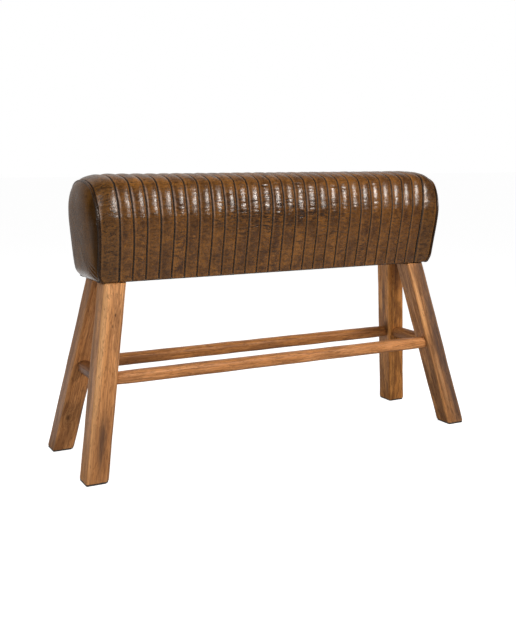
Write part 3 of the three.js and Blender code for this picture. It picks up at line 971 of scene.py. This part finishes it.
def staple_shape(graph):
    """The crown of a staple along the line, with a knee at each end where it bends up into the wood."""
    sizes = {"Vertices": 6, "Radius": graph.given["Wire"], "Depth": graph.given["Crown"]}
    parts = [graph.node("GeometryNodeMeshCylinder", inputs=sizes)]
    for way in (-1, 1):
        knee = graph.node("GeometryNodeMeshUVSphere", inputs={**BEAD, "Radius": graph.given["Wire"]})
        shift = graph.node("ShaderNodeCombineXYZ", inputs={2: graph.given["Crown"] * (way / 2)})
        parts.append(graph.node("GeometryNodeTransform", inputs={"Geometry": knee, "Translation": shift}))
    joined = graph.tree.nodes.new("GeometryNodeJoinGeometry")
    for part in parts:
        graph.tree.links.new(part.socket, joined.inputs[0])
    return Wire(graph, joined.outputs[0])


# %% Piping
def on_cover(x, depth):
    """A line over the cover at a place along it, sunk by a depth."""
    x = np.broadcast_to(np.asarray(x, float), (len(OUTLINE),))
    columns = np.stack([x - 1 * MM, x, x + 1 * MM], 1)
    grid = draw_in(columns, OUTLINE[:, :1], OUTLINE[:, 1:])
    return grid[:, 1] - grid_normals(grid)[:, 1] * depth


cord = cord_tree()
low_edge = int(np.argmax(OUTLINE[:, 1] > SEAT_BASE + 0.2 * MM))
for direction, side in ((-1, "left"), (1, "right")):
    line = draw_in(np.full(len(OUTLINE), SEAM), OUTLINE[:, 0], OUTLINE[:, 1])
    along = np.gradient(line, axis=0)
    across_line = np.stack([np.zeros(len(line)), -along[:, 2], along[:, 1]], 1)
    across_line /= np.linalg.norm(across_line, axis=1, keepdims=True)
    line = line - across_line * 0.6 * MM
    line[:, 2] = np.maximum(line[:, 2], SEAT_BASE + 3.2 * MM)
    line = line[low_edge - 6 : len(line) - low_edge + 6] * (direction, 1, 1)
    sizes = {"Radius": 3.0 * MM, "Finish": piping_leather}
    piece = grown(line_object(f"piping_{side}_cord", [line]), cord, sizes)
    hand_over(piece, "piping_leather", f"piping_{side}")
print("the piping has", len(piece.data.polygons), "faces")

# %% Stitches
thread = finish("waxed_thread", 0.6)
twist = noise(thread, object_place(thread), 1800.0, 1)
thread_colour = mixed(thread, twist, (0.12, 0.07, 0.035), (0.26, 0.17, 0.09))
dress(thread, Base_Color=thread_colour, Normal=bump(thread, twist, 0.4, 0.0004))

stitch_sizes = {"Thick": 0.28 * MM, "Long": 1.25 * MM}
stitches = repeated_tree("stitches_on_a_seam", thread_shape, stitch_sizes)
visible = slice(low_edge + 2, len(OUTLINE) - low_edge - 2)
seam_lines = [on_cover(seam_line(k), 3.0 * MM)[visible] for k in range(1, RIBS)]
edge_seams = ((0, 1), (RIBS, -1))  # beside the wide strips, with the way to the strip
seam_lines += [on_cover(seam_line(k) - way * 1.1 * MM, 1.3 * MM)[visible] for k, way in edge_seams]
stitch_sizes.update(Pitch=4.2 * MM, Finish=thread.material)
seams = grown(line_object("seam_stitches", seam_lines), stitches, stitch_sizes)
hand_over(seams, "rib_leather")
print("the stitches have", len(seams.data.polygons), "faces")

# %% Staples under the seat
zinc = finish("zinc_plate", 0.34, Metallic=1.0)
spangle = noise(zinc, object_place(zinc), 700.0, 2)
zinc_colour = mixed(zinc, spangle, (0.48, 0.47, 0.44), (0.72, 0.71, 0.68))
dress(zinc, Base_Color=zinc_colour, Roughness=between(zinc, spangle, 0.3, 0.7, 0.26, 0.46))

STAPLE_X, STAPLE_Y = 372 * MM, 57.5 * MM  # how far the rows along the seat reach, and how far apart they are
END_STAPLE_X, END_STAPLE_Y = 446 * MM, 11 * MM  # the same of the short rows at the ends
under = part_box("dust_cover")[0].z - 0.25 * MM
staple_lines = [[(x, y, under) for x in np.linspace(-STAPLE_X, STAPLE_X, 30)] for y in (-STAPLE_Y, STAPLE_Y)]
short_row = np.linspace(-END_STAPLE_Y, END_STAPLE_Y, 3)
staple_lines += [[(x, y, under) for y in short_row] for x in (-END_STAPLE_X, END_STAPLE_X)]
staple_sizes = {"Wire": 0.45 * MM, "Crown": 9 * MM}
staple_tree = repeated_tree("staples_on_an_edge", staple_shape, staple_sizes)
staple_sizes.update(Pitch=24 * MM, Finish=zinc.material)
staples = grown(line_object("dust_cover_staples", staple_lines), staple_tree, staple_sizes)
hand_over(staples, "bolt_steel")
print("the staples have", len(staples.data.polygons), "faces")

# %% [markdown]
# ## Wood
#
# The legs and rails are a warm, open-pored hardwood, waxed over. Long streaks run with the grain, fine
# pores lie in them as short dark dashes, and the streaks part round a knot. The corners are rubbed paler.
# Each piece was cut from another board, so each has its own place in the pattern and partly its own tone: the
# darker tones of the front right leg and of the left end rail are painted shade.

# %% The wood's finish
def near_mark(graph, grain, place, across, along):
    """1 at a place in a piece of wood and 0 outside an ellipsoid round it, whose sizes are in millimetres."""
    size = np.array([across, across, along])
    flat = scaled(graph, grain, tuple(1 / (size * MM)))
    middle = tuple(np.array(place) / size)
    far = graph.node("ShaderNodeVectorMath", {"operation": "DISTANCE"}, {0: flat, 1: middle}, output="Value")
    return 1 - between(graph, far, 0.2, 1.0)


def wood_finish(name, pale, warm, dark, shift=0.0, marks=(), knots=(), gloss=0.47):
    graph = finish(name, gloss, Specular_IOR_Level=0.2)
    grain = attribute(graph, "grain", "Vector")
    here, eyes = grain, 0.0
    for place, size in knots:
        push = near_mark(graph, grain, place, size * 2.4, size * 4) * (size * MM * 1.5)
        shove = graph.node("ShaderNodeCombineXYZ", inputs={0: push, 1: push * 0.6})
        here = graph.node("ShaderNodeVectorMath", {"operation": "ADD"}, {0: here, 1: shove})
        eyes = near_mark(graph, grain, place, size, size * 1.3) + eyes
    streak = noise(graph, scaled(graph, here, (80, 80, 4.2), (shift, shift * 0.7, shift)), 1.0, 5, 0.62, 0.7)
    board = noise(graph, scaled(graph, here, (24, 24, 5.0), (shift * 2, 0, shift)), 1.0, 4, 0.6, 0.6)
    figure = noise(graph, scaled(graph, here, (150, 150, 22), (0, shift, shift)), 1.0, 4, 0.62, 1.2)
    fine = noise(graph, scaled(graph, here, (420, 420, 14), (shift, 0, 0)), 1.0, 3, 0.6)
    pore = noise(graph, scaled(graph, here, (900, 900, 60)), 1.0, 2, 0.5)
    speck = noise(graph, scaled(graph, here, (330, 330, 75), (shift, shift, 0)), 1.0, 3, 0.6, 0.4)

    colour = mixed(graph, between(graph, streak * 0.5 + board * 0.3 + figure * 0.2, 0.43, 0.57), warm, pale)
    colour = mixed(graph, between(graph, board, 0.48, 0.62) * 0.65, colour, dark)
    colour = mixed(graph, between(graph, figure, 0.48, 0.62) * 0.55, colour, dark)
    colour = mixed(graph, between(graph, fine, 0.47, 0.63) * 0.55, colour, dark)
    streaky = between(graph, streak * 0.5 + figure * 0.5, 0.3, 0.55, 0.45, 1.0)
    for place, across, along, tint, strength in marks:
        share = near_mark(graph, grain, place, across, along) * streaky
        colour = mixed(graph, share * strength, colour, tint)
    dashes = between(graph, pore, 0.56, 0.68) * between(graph, fine, 0.38, 0.6)
    colour = mixed(graph, dashes * 0.55, colour, times(dark, 0.4))
    colour = mixed(graph, between(graph, speck, 0.56, 0.68) * 0.5, colour, times(dark, 0.5))
    if knots:
        colour = mixed(graph, eyes * 0.75, colour, times(dark, 0.5))
    worn = attribute(graph, "edge") * between(graph, streak, 0.3, 0.7)
    colour = mixed(graph, worn * 0.45, colour, times(pale, 1.2))
    rough = between(graph, fine * 0.6 + streak * 0.4, 0.3, 0.7, gloss - 0.07, gloss + 0.12)
    pits = bump(graph, 1 - dashes, 0.35, 0.0006)
    surface = bump(graph, figure * 0.6 + fine * 0.4, 0.35, 0.0014, pits)
    dress(graph, Base_Color=colour, Roughness=rough, Normal=surface)
    return graph.material


# %% Soft unevenness
def soft_field(points, size, seed):
    """A smooth random field over space, about -1 to 1, made of waves in all directions."""
    rng = np.random.default_rng(seed)
    total = np.zeros(points.shape[:-1])
    for _ in range(10):
        way = rng.normal(size=3)
        way /= np.linalg.norm(way)
        wavelength, phase = size * rng.uniform(0.7, 1.6), rng.uniform(0, 2 * math.pi)
        total += np.sin(points @ way * 2 * math.pi / wavelength + phase)
    return total / 3.2


# %% [markdown]
# ## Legs
#
# A leg is a square post with one corner planed off and the other three eased. It leans both ways, but its
# two ends and its two pairs of faces stay level and square to the seat, so it is the same section slid
# sideways as it rises. The edges of the chamfers are softened, and the faces are a little uneven, as
# hand-planed faces are.

# %% Legs
LEG = 55 * MM
CHAMFERS = {(1, -1): 8 * MM, (1, 1): 2.5 * MM, (-1, 1): 2.5 * MM, (-1, -1): 2.5 * MM}  # at each corner
TOP_X, TOP_Y, FOOT_X, FOOT_Y = 423 * MM, 43 * MM, 510 * MM, 136.5 * MM
RAIL_HEIGHT = 221 * MM


def leg_centre(z):
    share = np.asarray(z) / SEAT_BASE
    return FOOT_X + (TOP_X - FOOT_X) * share, FOOT_Y + (TOP_Y - FOOT_Y) * share


def softened(outline, passes):
    for _ in range(passes):
        outline = (np.roll(outline, 1, 0) + outline * 2 + np.roll(outline, -1, 0)) / 4
    return outline


def post_outline():
    edge = LEG / 2
    corners = []
    for (x, y), cut in CHAMFERS.items():
        before, after = ((x * edge, y * (edge - cut)), (x * (edge - cut), y * edge))
        corners += [before, after] if x * y > 0 else [after, before]
    dense = resampled(np.array(corners + corners[:1]), 1.25 * MM)[:-1]
    return softened(dense, 3)


def corner_nearness(outline):
    """1 on the eight edges of a post and 0 on its flats."""
    before, after = np.roll(outline, 4, 0) - outline, np.roll(outline, -4, 0) - outline
    cosine = (before * after).sum(1) / (np.linalg.norm(before, axis=1) * np.linalg.norm(after, axis=1))
    return np.clip((1 + cosine) * 4.2, 0, 1)


POST = post_outline()
POST_EDGE = corner_nearness(POST)


LEG_RINGS = 96


def leg_piece(name, way_x, way_y, finish_, seed):
    node = f"leg_{name}"
    low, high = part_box(node)[0].z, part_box(node)[1].z
    heights = np.r_[low, low + 0.7 * MM, low + 1.8 * MM, np.linspace(low + 4 * MM, high, LEG_RINGS)]
    size = np.r_[0.955, 0.985, 0.998, np.ones(LEG_RINGS)]  # the foot's edge is rounded
    x0, y0 = leg_centre(heights)
    section = POST[None] * size[:, None, None]
    up = np.broadcast_to(heights[:, None, None], (*section.shape[:2], 1))
    across = np.stack([way_x * x0[:, None] + section[..., 0], way_y * y0[:, None] + section[..., 1]], 2)
    rings, grain = np.concatenate([across, up], 2), np.concatenate([section, up], 2)
    uneven = soft_field(grain * (1, 1, 0.35), 26 * MM, seed) * 0.28
    uneven = uneven + soft_field(grain * (1, 1, 0.2), 9 * MM, seed + 1) * 0.1
    outward = section / np.linalg.norm(section, axis=2, keepdims=True)
    rings[..., :2] += outward * (uneven[..., None] - 0.35) * MM
    foot_wear = np.exp(-(grain[..., 2] - low) / (4 * MM)) * 0.6
    worn = np.broadcast_to(POST_EDGE[None], rings.shape[:2]) * 0.8 + foot_wear
    marks = {"grain": grain.reshape(-1, 3), "edge": np.clip(worn, 0, 1).ravel()}
    piece = new_piece(f"wood_{node}", rings.reshape(-1, 3), bar_faces(*rings.shape[:2]), finish_, marks)
    hand_over(piece, "leg_wood", node)


FRONT = LEFT = -LEG / 2 / MM  # where a leg's front and left faces lie in its section, in millimetres
LEGS = {  # which way it splays, its tones, and marks: place, reach across and along, tint, strength
    "front_left": (
        (-1, -1),
        ((0.86, 0.42, 0.165), (0.62, 0.275, 0.095), (0.25, 0.1, 0.034)),
        (
            ((-22, FRONT, 250), 11, 330, (0.74, 0.42, 0.19), 0.6),
            ((LEFT, 12, 220), 26, 320, (0.19, 0.085, 0.035), 0.75),
            ((10, FRONT, 40), 60, 260, (0.26, 0.105, 0.036), 0.7),
            ((1, FRONT, 88), 17, 85, (0.085, 0.045, 0.028), 0.8),
            ((5, FRONT, 366), 2.4, 6, (0.04, 0.02, 0.012), 1.0),
            ((1, FRONT, 342), 2.4, 6, (0.04, 0.02, 0.012), 1.0),
        ),
        (),
    ),
    "back_left": (
        (-1, 1),
        ((0.58, 0.27, 0.1), (0.42, 0.18, 0.06), (0.17, 0.068, 0.024)),
        (
            ((LEFT, 8, 220), 22, 320, (0.2, 0.1, 0.055), 0.65),
            ((10, FRONT, 330), 30, 120, (0.24, 0.12, 0.06), 0.5),
        ),
        (((-10, FRONT, 89), 8),),
    ),
    # painted shade: the front right leg's tones are darker, and its first mark darkens its front face, for
    # the shade it stands in
    "front_right": (
        (1, -1),
        ((0.64, 0.3, 0.11), (0.44, 0.19, 0.062), (0.13, 0.055, 0.022)),
        (
            ((15, FRONT, 215), 36, 420, (0.085, 0.052, 0.04), 0.95),
            ((-19, FRONT, 330), 9, 130, (0.7, 0.36, 0.15), 0.7),
            ((-12, FRONT, 120), 7, 120, (0.55, 0.3, 0.14), 0.5),
        ),
        (),
    ),
    "back_right": (
        (1, 1),
        ((0.72, 0.32, 0.09), (0.52, 0.21, 0.05), (0.17, 0.064, 0.018)),
        (
            ((LEFT, -2, 330), 9, 95, (0.06, 0.03, 0.015), 0.85),
            ((LEFT, -14, 235), 14, 45, (0.07, 0.033, 0.015), 0.85),
            ((8, FRONT, 400), 30, 70, (0.16, 0.075, 0.035), 0.6),
        ),
        (),
    ),
}
for seed, (name, (ways, tones, marks, knots)) in enumerate(LEGS.items(), 1):
    wood = wood_finish(f"wood_{name}", *tones, shift=seed * 1.7, marks=marks, knots=knots)
    leg_piece(name, *ways, wood, seed)
print("a leg has", len(POST), "points round it")

# %% [markdown]
# ## Rails
#
# The rails are oval bars, a little squarer than an ellipse. Their ends follow the slope of the legs' inner
# faces, so each ring of points is stretched to reach the leg at its own height.

# %% Rails
RAIL_WIDTH, RAIL_TALL, RAIL_POWER = 34 * MM, 31 * MM, 2.6


def rail_section(around=56):
    angle = np.linspace(0, 2 * math.pi, around, endpoint=False)
    power = 2 / RAIL_POWER
    wide = np.sign(np.cos(angle)) * np.abs(np.cos(angle)) ** power * RAIL_WIDTH / 2
    tall = np.sign(np.sin(angle)) * np.abs(np.sin(angle)) ** power * RAIL_TALL / 2
    closed = np.stack([wide, tall], 1)
    return resampled(np.concatenate([closed, closed[:1]]), 1.9 * MM)[:-1]


SECTION = rail_section()


def rail_piece(node, lengthwise, offset, stations, finish_, seed):
    share = np.linspace(-1, 1, stations)
    thin = 1 - 0.07 * np.clip((np.abs(share) - 0.86) / 0.14, 0, 1) ** 2
    section = SECTION[None] * thin[:, None, None]
    height = RAIL_HEIGHT + section[..., 1]
    legs_x, legs_y = leg_centre(height)
    reach = (legs_x if lengthwise else legs_y) - LEG / 2 + 1.4 * MM
    along = share[:, None] * reach
    grain = np.stack([section[..., 0], section[..., 1], along], 2)
    uneven = soft_field(grain * (1, 1, 0.3), 30 * MM, seed) * 0.25 - 0.3
    outward = section / np.linalg.norm(section, axis=2, keepdims=True)
    section = section + outward * uneven[..., None] * MM
    sideways, up = offset + section[..., 0], RAIL_HEIGHT + section[..., 1]
    rings = np.stack([along, sideways, up] if lengthwise else [sideways, along, up], 2)
    marks = {"grain": grain.reshape(-1, 3), "edge": np.zeros(rings.shape[0] * rings.shape[1])}
    piece = new_piece(f"wood_{node}", rings.reshape(-1, 3), bar_faces(*rings.shape[:2]), finish_, marks)
    hand_over(piece, "rail_wood", node)


LONG_OFFSET, END_OFFSET = 91 * MM, 466 * MM
ORANGE = (0.76, 0.35, 0.14), (0.57, 0.24, 0.08), (0.25, 0.1, 0.033)
AMBER = (0.56, 0.24, 0.075), (0.4, 0.16, 0.043), (0.17, 0.065, 0.02)
# painted shade: the left end rail's tones are a darker copy of AMBER, for the shade it stands in
SHADED_AMBER = (0.3, 0.12, 0.038), (0.21, 0.08, 0.023), (0.09, 0.034, 0.012)
for node, lengthwise, offset, stations, tones, seed in (
    ("long_rail_front", True, -LONG_OFFSET, 200, ORANGE, 11),
    ("long_rail_back", True, LONG_OFFSET, 200, AMBER, 12),
    ("end_rail_left", False, -END_OFFSET, 40, SHADED_AMBER, 13),
    ("end_rail_right", False, END_OFFSET, 40, AMBER, 14),
):
    wood = wood_finish(f"wood_{node}", *tones, shift=seed * 0.9, gloss=0.43)
    rail_piece(node, lengthwise, offset, stations, wood, seed)

# %% [markdown]
# ## Parts that keep their solids
#
# The boards, bolts, cover cloth and foot pads have the right shape already. Each only gets a finish.

# %% Finishes for the solids
def plain_wood():
    graph = finish("raw_board", 0.72)
    place = object_place(graph)
    streak = noise(graph, scaled(graph, place, (4, 60, 60)), 1.0, 4, 0.6, 0.4)
    fine = noise(graph, scaled(graph, place, (14, 420, 420)), 1.0, 3)
    colour = mixed(graph, streak, (0.48, 0.31, 0.15), (0.66, 0.47, 0.26))
    colour = mixed(graph, fine * 0.4, colour, (0.36, 0.22, 0.1))
    dress(graph, Base_Color=colour, Normal=bump(graph, fine, 0.3, 0.0008))
    return graph.material


def pressed_cloth(name, low, high, scale):
    graph = finish(name, 0.95, Sheen_Weight=0.3)
    fibre = noise(graph, object_place(graph), scale, 4, 0.7, 1.2)
    colour = mixed(graph, between(graph, fibre, 0.3, 0.7), low, high)
    dress(graph, Base_Color=colour, Normal=bump(graph, fibre, 0.6, 0.0008))
    return graph.material


board_finish = plain_wood()
cloth_finish = pressed_cloth("dust_cloth", (0.012, 0.011, 0.011), (0.035, 0.033, 0.031), 650.0)
felt_finish = pressed_cloth("dark_felt", (0.014, 0.012, 0.011), (0.045, 0.038, 0.033), 900.0)
kept = {
    "board": board_finish,
    "bearer": board_finish,
    "dust_cover": cloth_finish,
    "foot_pad": felt_finish,
    "bolt": zinc.material,
}
for name, solid in nodes.items():
    for word, look in kept.items():
        if word in name:
            solid.data.materials.clear()
            solid.data.materials.append(look)

# %% Sizes and the end
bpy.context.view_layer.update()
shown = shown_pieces()
print(len(shown), "pieces,", sum(len(o.data.polygons) for o in shown), "faces")
